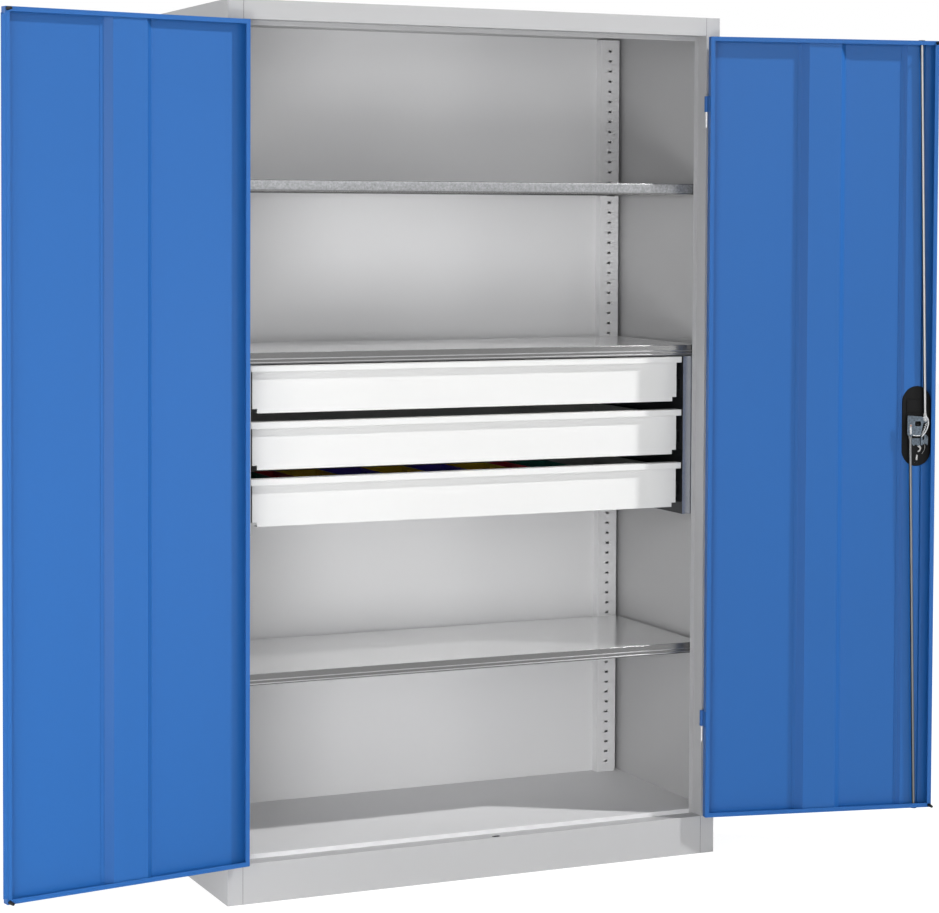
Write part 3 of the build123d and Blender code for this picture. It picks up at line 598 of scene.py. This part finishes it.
print("a disc has", len(disc(0.0, 0.0, 1.0)), "points, a rectangle", len(rectangle(0, 0, 9, 9, 1)))

# %% [markdown]
# ## Lofts, and several meshes as one
# A handle, a bead or a bin has another section at every place along it, so its skin is laid over
# a row of rings. A piece often consists of several such meshes, and they are joined into one.

# %% Lofts and joined meshes
def joined(*meshes):
    """Several meshes as one. They are used up."""
    work = bmesh.new()
    for mesh in meshes:
        work.from_mesh(mesh)
        bpy.data.meshes.remove(mesh)
    whole = bpy.data.meshes.new("joined")
    work.to_mesh(whole)
    work.free()
    return whole


def loft(rings):
    """A skin over rings of points in millimetres, closed at both ends."""
    work = bmesh.new()
    rows = [[work.verts.new([v * MM for v in point]) for point in ring] for ring in rings]
    for low, high in zip(rows, rows[1:]):
        for i in range(len(low)):
            j = (i + 1) % len(low)
            work.faces.new((low[i], low[j], high[j], high[i]))
    work.faces.new(rows[0][::-1])
    work.faces.new(rows[-1])
    bmesh.ops.recalc_face_normals(work, faces=work.faces)
    mesh = bpy.data.meshes.new("loft")
    work.to_mesh(mesh)
    work.free()
    return mesh


print("lofts can be made")

# %% [markdown]
# ## The crank that the handle turns
# Behind the handle a pressed plate turns with the spindle. One end pushes the upper rod up, and
# the other pulls the lower rod down. The plate is a trapezium whose edges are folded over, so
# round wires lie along them. The hole in the middle looks dark, because the end of the spindle
# sits deep in it.

# %% Crank plate
crank_reach, crank_slant = 25.0, 41.9
slant = math.radians(crank_slant)
crank_pin = Vector((crank_reach * math.cos(slant), crank_reach * math.sin(slant)))
trapezium = rounded([
    (-26.0, 26.0, 1.5), (13.5, 21.5, 2.0), (18.0, 24.5, 3.0), (27.0, 19.0, 6.0), (23.5, 9.0, 4.0),
    (14.0, 8.0, 3.0), (6.5, -23.0, 1.5), (-13.5, -21.5, 1.0), (-16.0, -25.0, 3.0), (-26.5, -21.0, 6.0),
    (-26.5, -8.0, 4.0),
])
socket = rectangle(-7.5, 12.0, 7.5, 0.0, 4.0)
plate = stamping([trapezium, socket], 21.3, 23.0, 0.45)
upper_flange = wire(smooth_path([(-25.0, 25.2, 22.6), (-6.0, 23.2, 22.9), (12.0, 21.2, 22.6)]), 0.8)
left_flange = wire(smooth_path([(-25.6, 22.0, 22.4), (-25.8, 4.0, 22.8), (-25.4, -10.0, 22.4)]), 0.8)
crank_mesh = joined(plate, upper_flange, left_flange)
add_lock_piece("crank_plate", crank_mesh, "dull_cast", "lock_handle", ["lock_crank"], "zinc_cast")

# %% [markdown]
# ## The bright parts on the crank
# A curved lever runs round the plate's right side from the upper rod's pin, with a coil spring
# beside it. The spring is a wire whose path winds six times round a smooth line. The fold below
# the plate is bright too, and on the left a short link is held by a coppered rivet. All of them
# ride on the handle's body, so they turn with the plate as one.

# %% Lever, pins, spring, link and rivet
lower_flange = wire(smooth_path([
    (-12.0, -21.0, 22.4), (-3.0, -22.4, 23.0), (5.5, -21.9, 22.4),
]), 1.3)
lever = wire(smooth_path([
    (12.0, 20.0, 23.0), (18.5, 22.8, 23.6), (24.0, 17.0, 23.8), (25.4, 6.0, 23.8), (22.5, -5.0, 23.6),
    (17.0, -15.5, 23.2), (9.0, -25.0, 22.6),
]), 1.8)
ring_radius = 4.2
ring_path = disc(crank_pin.x, crank_pin.y, ring_radius, 24)
ring_path.append((crank_pin.x + ring_radius, crank_pin.y))
pin_ring = wire(ring_path, 1.0)
pin_ring.transform(Matrix.Translation((0.0, 0.0, 23.6 * MM)))
pins = [stamping([disc(s * crank_pin.x, s * crank_pin.y, 2.6)], 17.7, 24.2, 0.6) for s in (-1, 1)]
spring_turns = 6
spring_line = smooth_path([(20.5, 7.0), (16.8, -3.5), (12.8, -13.5), (8.8, -21.0)], 24)
coil = []
for i, (x, y) in enumerate(spring_line):
    turn = math.tau * spring_turns * i / (len(spring_line) - 1)
    coil.append((x + 2.3 * math.cos(turn), y + 0.9 * math.cos(turn), 22.6 + 2.0 * math.sin(turn)))
coil_spring = wire(coil, 0.95)
link_outline = rounded([
    (-21.0, 4.6, 2.4), (-16.2, 4.6, 2.4), (-16.0, -16.0, 2.2), (-21.2, -16.0, 2.2),
])
link = stamping([link_outline], 23.0, 24.2, 0.5)
rivet = stamping([disc(-18.6, 1.8, 2.1)], 24.0, 24.7, 0.3)
lever_mesh = joined(lower_flange, lever, pin_ring, coil_spring, link, *pins)
add_lock_piece("crank_lever_and_pins", lever_mesh, "zinc_cast", "lock_handle")
add_lock_piece("link_rivet", rivet, "copper", "lock_handle", (), "zinc_cast")

# %% [markdown]
# ## The cast plate under it
# The fixed plate is screwed to the black cover. Most of it hides under the crank. What shows is
# the lower right corner, a thick grey casting that guides the rods. It stays low where the rods
# swing over it, and two bent wires on top of it make its raised, rounded rims.

# %% Fixed plate and casting
lug_plate = rounded([
    (-26.0, 31.0, 5.0), (-14.0, 31.0, 4.0), (-11.0, 20.0, 4.0),
    (11.0, 20.0, 4.0), (14.0, 31.0, 4.0), (26.0, 31.0, 5.0),
    (26.0, -39.0, 5.0), (14.0, -39.0, 4.0), (10.0, -30.0, 4.0),
    (-10.0, -30.0, 4.0), (-14.0, -39.0, 4.0), (-26.0, -39.0, 5.0),
])
base = stamping([lug_plate, disc(0.0, 0.0, 5.2)], 13.5, 14.7, 0.3)
add_lock_piece("lock_base_plate", base, "black_plastic", "right_door", ["lock_plate"], "zinc_cast")

low_part = rounded([
    (-14.0, -28.5, 1.5), (-14.0, -38.0, 2.0), (-8.0, -47.5, 1.5), (-1.0, -43.5, 1.0),
    (3.0, -48.0, 1.5), (8.5, -45.0, 2.0), (9.5, -28.5, 1.0),
])
high_part = rounded([
    (9.2, -23.0, 2.0), (17.5, -15.5, 2.0), (27.5, -26.0, 3.0), (27.0, -46.5, 1.5), (17.0, -41.0, 2.0),
    (9.2, -47.5, 1.5),
])
slot_hole = rectangle(14.0, -23.0, 17.5, -33.0, 1.5)
casting = joined(
    stamping([low_part], 14.7, 15.6, 0.3),
    stamping([high_part, slot_hole], 14.7, 19.4, 1.0),
    wire([(18.5, -17.5, 19.4), (26.3, -26.0, 19.4), (25.9, -43.5, 19.2)], 0.8),
    wire([(11.0, -45.0, 19.2), (17.0, -40.2, 19.2), (25.5, -44.5, 19.2)], 0.8),
)
add_lock_piece("rod_guide_casting", casting, "dull_cast", "right_door", (), "zinc_cast")

# %% [markdown]
# ## The pawl and its spring
# Below the casting a small hooked pawl is pressed back by a thin wire spring. The hook is flat
# steel, so it is a stamping, and the spring is one bent wire.

# %% Pawl and wire spring
hook = rounded([
    (2.0, -44.0, 1.0), (8.0, -45.0, 1.0), (12.0, -52.0, 2.0), (9.0, -60.0, 1.5), (3.0, -62.0, 1.0),
    (2.5, -59.0, 0.5), (7.0, -56.5, 1.0), (7.5, -52.5, 1.5), (2.0, -48.5, 1.0),
])
pawl = stamping([hook], 13.7, 15.5, 0.4)
bent = smooth_path([
    (17.0, -40.0, 15.2), (20.5, -47.0, 15.6), (19.5, -56.0, 15.4), (13.5, -66.0, 14.6),
])
add_lock_piece("pawl_and_spring", joined(pawl, wire(bent, 0.55)), "bright_steel", "right_door")

# %% [markdown]
# ## Screws in the plate
# Four pan-head screws with a cross recess hold the plate. Each head is a stamping with a
# cross-shaped hole over a plain disc, which costs few faces and gives a true recess.

# %% Cross-recess screws
def cross(x, y, reach, half):
    """The outline of a plus sign, made of one arm that is turned three times."""
    arm, corners = [(half, half), (half, reach), (-half, reach)], []
    for _ in range(4):
        corners += arm
        arm = [(-b, a) for a, b in arm]
    return [(x + a, y + b) for a, b in corners]


head_radius = 3.2
screws = []
for x in (-20.0, 20.0):
    for y in (-33.0, 25.0):
        screws.append(stamping([disc(x, y, head_radius)], 14.7, 15.1, 0.1))
        recess = cross(x, y, 1.9, 0.4)
        screws.append(stamping([disc(x, y, head_radius), recess], 15.05, 15.5, 0.2))
add_lock_piece(
    "plate_screws", joined(*screws), "black_plastic", "right_door", ["lock_screws"], "bright_steel")

# %% [markdown]
# ## The raised panel on the cover
# Above the plate the black cover carries a low raised panel with a smaller step on it. Both are
# moulded with the cover, but they are easier to draw as two flat stampings that lie on it.

# %% Raised panel
case_bump = joined(
    stamping([rectangle(-25.0, 62.0, 9.5, 34.0, 2.0)], 13.4, 15.2, 0.5),
    stamping([rectangle(-21.0, 58.0, 5.5, 38.0, 1.5)], 15.1, 15.6, 0.2),
)
add_lock_piece("raised_cover_panel", case_bump, "black_plastic", "right_door")

# %% [markdown]
# ## The key's cam
# The key turns a small cam on the inner end of its barrel. The cam is a flat tongue, a little
# narrower at its upper end, with a flat rivet at its lower end. It rides on the barrel's body.

# %% Cam and its rivet
tongue = rounded([(-2.6, -81.0, 2.2), (2.8, -81.0, 2.2), (3.4, -68.0, 1.6), (-0.6, -68.0, 1.6)])
cam_rivet = stamping([disc(0.0, -78.0, 2.0)], 15.2, 15.6, 0.3)
cam = joined(stamping([tongue], 13.6, 15.2, 0.4), cam_rivet)
add_lock_piece("key_cam", cam, "bright_steel", "key_barrel")

# %% [markdown]
# ## The swing handle outside
# On the outer side a lever lies in the black dish, and turning it moves the crank. It is crowned
# along its length, thickest at the hub and narrower on both sides of it, so fingers find it in
# the dish. A loft over oval sections gives that shape directly; a box with a bevel wouldn't.

# %% Lofted lever, hub and spindle
lever_half_length, lever_middle = 58.5, -2.2


def lever_ring(s):
    """One section of the lever at a place from -1 to 1 along its length."""
    taper = math.sqrt(max(0.0, 1 - abs(s) ** 5))
    half = (10.2 + 2.6 * math.cos(s * math.pi) ** 2) * taper + 0.3
    crown = 4.2 + 2.6 * (1 - s * s) * taper
    ring = []
    for c, d in disc(0.0, 0.0, 1.0, 24):
        flat = math.copysign(abs(c) ** 0.75, c)
        rise = abs(d) ** 0.85 * (-crown if d > 0 else 2.6)
        ring.append((lever_half_length * s, half * flat, lever_middle + rise))
    return ring


lever_skin = loft([lever_ring(s / 20) for s in range(-20, 21)])
lever_skin.transform(Matrix.Rotation(math.radians(180 - crank_slant), 4, "Z"))
hub_rows = [(13.8, -1.0), (13.8, 9.9), (5.0, 10.0), (5.0, 20.6), (4.2, 21.2)]
hub = loft([[(x, y, z) for x, y in disc(0.0, 0.0, r, 32)] for r, z in hub_rows])
square = stamping([rectangle(-3.6, -3.6, 3.6, 3.6, 0.6)], 20.0, 22.2, 0.3)
handle_mesh = joined(lever_skin, hub, square)
add_lock_piece("swing_handle", handle_mesh, "black_plastic", "lock_handle", ["lock_handle"])

# %% [markdown]
# ## Beads along the shelf lips
# The lip of a sheet shelf isn't flat: two beads are rolled along it, which stiffen the edge and
# draw the light and dark lines that run the whole width of the shelf. The upper shelf has one
# broad bead instead, and there the zinc shows its spangle. Each bead is a low arch swept along
# the lip, so it is a loft with only two ends. The beads stop short of the corners, where the
# roll can't reach.

# %% Roll the beads
short_of_corner, run_out, into_lip = 5.0, 6.0, 0.4


def bead(x0, x1, front, low, high, proud):
    """A low arch on the lip's face, from one end of the shelf to the other."""
    middle, half = (low + high) / 2, (high - low) / 2
    rings = []
    for x, share in ((x0, 0.15), (x0 + run_out, 1.0), (x1 - run_out, 1.0), (x1, 0.15)):
        ring = [(x, front + into_lip, high), (x, front + into_lip, low)]
        for step in range(9):
            a = math.pi * step / 8
            ring.append((x, front - proud * share * math.sin(a), middle - half * math.cos(a)))
        rings.append(ring)
    return loft(rings)


for name in ("shelf_lower", "shelf_middle", "shelf_upper"):
    (left, front, bottom), (right, _, top) = [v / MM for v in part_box(name)]
    ends = left + short_of_corner, right - short_of_corner
    if name == "shelf_upper":
        beads, finish = bead(*ends, front, bottom + 3.0, top - 1.5, 1.0), "spangled_lip"
    else:
        high_bead = bead(*ends, front, bottom + 8.5, bottom + 12.5, 0.7)
        low_bead = bead(*ends, front, bottom + 0.6, bottom + 5.0, 1.2)
        beads, finish = joined(high_bead, low_bead), "rolled_lip"
    add_piece(f"{name}_beads", beads, finish, "carcass", (), "zinc_sheet")

# %% [markdown]
# ## Seams at the corners of the front
# The rail and the plinth are separate sheets from the posts, so a hairline gap runs up each of
# the four joints. Its shade is painted: a dark strip, 0.9 mm wide, sits in the joint.

# %% Paint the shadow strips into the four seams
post_edge, half_seam = 565.0, 0.45
plinth_joint, rail_joint = (0.5, 87.5), (1908.5, 1949.2)
seams = []
for x in (-post_edge, post_edge):
    for low, high in (plinth_joint, rail_joint):
        left, right = x - half_seam, x + half_seam
        outline = [(left, low), (right, low), (right, high), (left, high)]
        seams.append(stamping([outline], -0.3, 0.3, 0.1))
seam_mesh = joined(*seams)
front_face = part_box("plinth_panel")[0][1] / MM
upright = Matrix.Rotation(math.radians(90), 4, "X")
seam_mesh.transform(Matrix.Translation((0.0, (front_face + 0.2) * MM, 0.0)) @ upright)
# a dark strip of painted shadow in each joint
add_piece("corner_seam_shadows", seam_mesh, "painted_seam_shadow", "carcass", (), "grey_paint")

# %% [markdown]
# ## A dark cup under the lower rod's slot
# The lower rod drops through a slot in the threshold. A black cup sits under that slot as
# painted shade: it stands for the dark inside of the plinth, where the white floor would show
# through. It is one loft: up the outside, over the rim and down the inside.

# %% Loft the cup under the slot
slot_x, slot_y = 43.5, 0.9


def cup_ring(half_x, half_y, z):
    """A rounded rectangle around the slot's middle."""
    outline = rectangle(-half_x, -half_y, half_x, half_y, 5.0)
    return [(slot_x + x, slot_y + y, z) for x, y in outline]


cup_rows = [(13.2, 9.2, 46.0), (13.2, 9.2, 86.6), (12.0, 8.0, 86.6), (12.0, 8.0, 47.2)]
cup = loft([cup_ring(*row) for row in cup_rows])
# painted shade: a dark cup that hides the white floor under the slot
add_piece("dark_cup_painted_shade", cup, "black_plastic", "carcass")

# %% [markdown]
# ## Small-parts bins
# The bins in the bottom drawer are injection moulded. Their walls lean out a little so that they
# leave the mould, the corners are round inside and out, a rim runs round the top to stiffen it,
# and thin ribs on the long walls take dividers. Each bin is a loft over rounded rectangles: up
# the outside, over the rim and down the inside to the floor. Bins of one colour form one piece.

# %% Loft the bins
def tray_ring(low, high, inset, corner, z):
    """A rounded rectangle, inset from the bin's footprint, at a height."""
    x0, y0 = [v + inset + corner for v in low]
    x1, y1 = [v - inset - corner for v in high]
    ring = []
    for cx, cy, first in ((x1, y1, 0), (x0, y1, 90), (x0, y0, 180), (x1, y0, 270)):
        for step in range(5):
            a = math.radians(first + 22.5 * step)
            ring.append((cx + corner * math.cos(a), cy + corner * math.sin(a), z))
    return ring


def divider_rib(wall_x, lean, y, base, top):
    """A thin rib up one of a bin's long walls. It stands off less at its upper end."""
    rings = []
    for z, depth in ((base + 3.0, 2.6), (top - 6.0, 1.5)):
        root, tip = wall_x - 0.6 * lean, wall_x + lean * depth
        rings.append([(root, y - 0.5, z), (tip, y - 0.35, z), (tip, y + 0.35, z), (root, y + 0.5, z)])
    return loft(rings)


def bin_mesh(low, high, base, top):
    """One bin on its footprint, with divider ribs."""
    outside = [(4.2, 3.0, base), (3.0, 4.0, base + 0.5), (2.6, 4.2, base + 3.0), (1.3, 5.0, top - 6.5)]
    rim = [(0.2, 6.0, top - 6.0), (0.1, 6.0, top - 0.8), (0.6, 5.6, top), (1.9, 4.6, top)]
    inside = [(2.4, 4.2, top - 0.8), (3.6, 3.6, base + 5.5)]
    floor = [(4.4, 3.4, base + 3.4), (6.6, 2.6, base + 2.4)]
    section = outside + rim + inside + floor
    shells = [loft([tray_ring(low, high, inset, corner, z) for inset, corner, z in section])]
    for wall_x, lean in ((low[0] + 3.1, 1.0), (high[0] - 3.1, -1.0)):
        for share in (0.25, 0.5, 0.75):
            for side in (-1.4, 1.4):
                y = low[1] + (high[1] - low[1]) * share + side
                shells.append(divider_rib(wall_x, lean, y, base, top))
    return joined(*shells)


bin_columns = [
    ("green", 2), ("red", 1), ("yellow", 2), ("blue", 2), ("yellow", 2),
    ("blue", 2), ("yellow", 2), ("red", 1), ("green", 2),
]
bin_unit, bin_gap, bin_front, bin_left = 54.0, 0.6, 65.5, -511.2
bin_length = 3 * bin_unit
for colour in bin_plastics:
    node = f"bins_{colour}"
    cad_low, cad_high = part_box(node)
    base, top = cad_low[2] / MM, cad_high[2] / MM
    shells = []
    start = bin_left
    for column_colour, units in bin_columns:
        if column_colour == colour:
            for row in range(2):
                low = Vector((start, bin_front + row * bin_length))
                high = low + Vector((units * bin_unit - bin_gap, bin_length - bin_gap))
                shells.append(bin_mesh(low, high, base, top))
        start += units * bin_unit
    bins = joined(*shells)
    add_piece(f"moulded_bins_{colour}", bins, f"{colour}_plastic", "drawer_bottom", [node])
    print("  CAD x from", round(cad_low[0] / MM, 1), "to", round(cad_high[0] / MM, 1))

# %% [markdown]
# ## The floor and the light behind
# The cupboard stands on a plain white studio floor. Seen by the camera, by a glossy surface or
# through glass, the background is white and the floor is mostly white light of its own, so it
# stays white in the cupboard's shadow too. For all other rays it is a normal pale surface that
# throws soft light back up.

# %% White floor and background
white_light, pale_paint = (1.0, 1.0, 1.0, 1.0), (0.62, 0.62, 0.62, 1.0)
own_light, soft_level = 0.70, 0.11


def seen_directly(finish):
    """1 for camera, glossy and transmission rays, and 0 for the soft light that lights things."""
    ray = finish.add("ShaderNodeLightPath")
    direct = finish.maths("MAXIMUM", ray["Is Camera Ray"], ray["Is Glossy Ray"])
    return finish.maths("MAXIMUM", direct, ray["Is Transmission Ray"])


reach = 14
floor_mesh = bpy.data.meshes.new("studio_floor")
corners = [(-reach, -reach, 0), (reach, -reach, 0), (reach, reach, 0), (-reach, reach, 0)]
floor_mesh.from_pydata(corners, [], [(0, 1, 2, 3)])
floor = bpy.data.objects.new("studio_floor", floor_mesh)
bpy.context.scene.collection.objects.link(floor)
white_floor = Finish(bpy.data.materials.new("white_studio_floor"))
matt = white_floor.add("ShaderNodeBsdfDiffuse", None, {"Color": pale_paint})
glow = white_floor.add("ShaderNodeEmission", None, {"Color": white_light, "Strength": 1.34})
shares = [own_light * seen_directly(white_floor), matt["BSDF"], glow["Emission"]]
mixed = white_floor.add("ShaderNodeMixShader", None, shares)["Shader"]
white_floor.add("ShaderNodeOutputMaterial", None, {"Surface": mixed})
floor_mesh.materials.append(white_floor.owner)

studio = Finish(bpy.data.worlds.new("studio_light"))
bpy.context.scene.world = studio.owner
strength = soft_level + (1 - soft_level) * seen_directly(studio)
light_behind = studio.add("ShaderNodeBackground", None, {"Color": white_light, "Strength": strength})
studio.add("ShaderNodeOutputWorld", None, {"Surface": light_behind["Background"]})
print("floor and background are white")

# %% [markdown]
# ## Lamps
# The picture was lit by one lamp high on the right, small and far away, which throws the crisp
# short shadows under the drawers' grips and beside the right post. The other eight are soft.
# Those in front fill the inside, the low ones lift the plinth and the lower ends of the doors,
# and the two behind light the outer sides.

# %% The lamps
def lamp(name, place, size, watts, aim=(0.0, 0.0, 1.0)):
    """A square lamp that hangs at a place and faces the cupboard."""
    light = bpy.data.lights.new(name, "AREA")
    light.shape = "SQUARE"
    light.size = size
    light.energy = watts
    holder = bpy.data.objects.new(name, light)
    bpy.context.scene.collection.objects.link(holder)
    holder.location = place
    holder.rotation_euler = (Vector(aim) - holder.location).to_track_quat("-Z", "Y").to_euler()


lamp("key_lamp", (4.86, -2.85, 5.60), 0.3, 460.0)
lamp("front_softbox", (-0.4, -6.2, 1.4), 3.0, 43.0)
lamp("high_softbox", (-1.4, -5.0, 4.6), 2.4, 24.0)
lamp("low_left_lamp", (-2.0, -2.6, 0.3), 1.0, 50.0, (-0.6, 0.0, 0.4))
lamp("left_softbox", (-5.0, -3.5, 2.0), 2.0, 68.0)
lamp("low_right_softbox", (4.5, -5.5, 0.62), 1.2, 30.0, (-0.85, 0.0, 0.4))
lamp("right_front_softbox", (1.5, -6.2, 2.9), 1.5, 22.0, (0.8, 0.0, 1.7))
lamp("left_rear_softbox", (-4.6, 1.0, 2.0), 2.4, 86.0)
lamp("right_rear_softbox", (3.6, 3.2, 2.4), 2.4, 55.0)
print("lamps:", len(bpy.data.lights))

# %% [markdown]
# ## The camera
# The picture was taken from the left, at about three quarters of the cupboard's height. Its
# upright edges hardly lean, so the lens was shifted rather than tilted. Part of that shift is
# kept here and the rest is a small tilt, so that the whole cupboard stays in view from other
# sides too.

# %% Set the camera
picture_width, focal_pixels, film_width = 939, 2539.5, 36.0
view_camera = bpy.data.cameras.new("view_camera")
view_camera.sensor_width = film_width
view_camera.lens = film_width * focal_pixels / picture_width
view_camera.shift_y = -0.15
camera = bpy.data.objects.new("view_camera", view_camera)
bpy.context.scene.collection.objects.link(camera)
camera.location = (-2.3587, -5.1638, 1.4889)
turn, tilt, roll = math.radians(-24.289), math.radians(-2.241), math.radians(-0.251)
camera.rotation_mode = "QUATERNION"
turned, rolled = Matrix.Rotation(turn, 3, "Z"), Matrix.Rotation(-roll, 3, "Z")
tilted = Matrix.Rotation(math.radians(90) + tilt, 3, "X")
camera.rotation_quaternion = (turned @ tilted @ rolled).to_quaternion()
bpy.context.scene.camera = camera
bpy.context.scene.view_settings.view_transform = "Standard"
print("lens", round(view_camera.lens, 2), "mm")
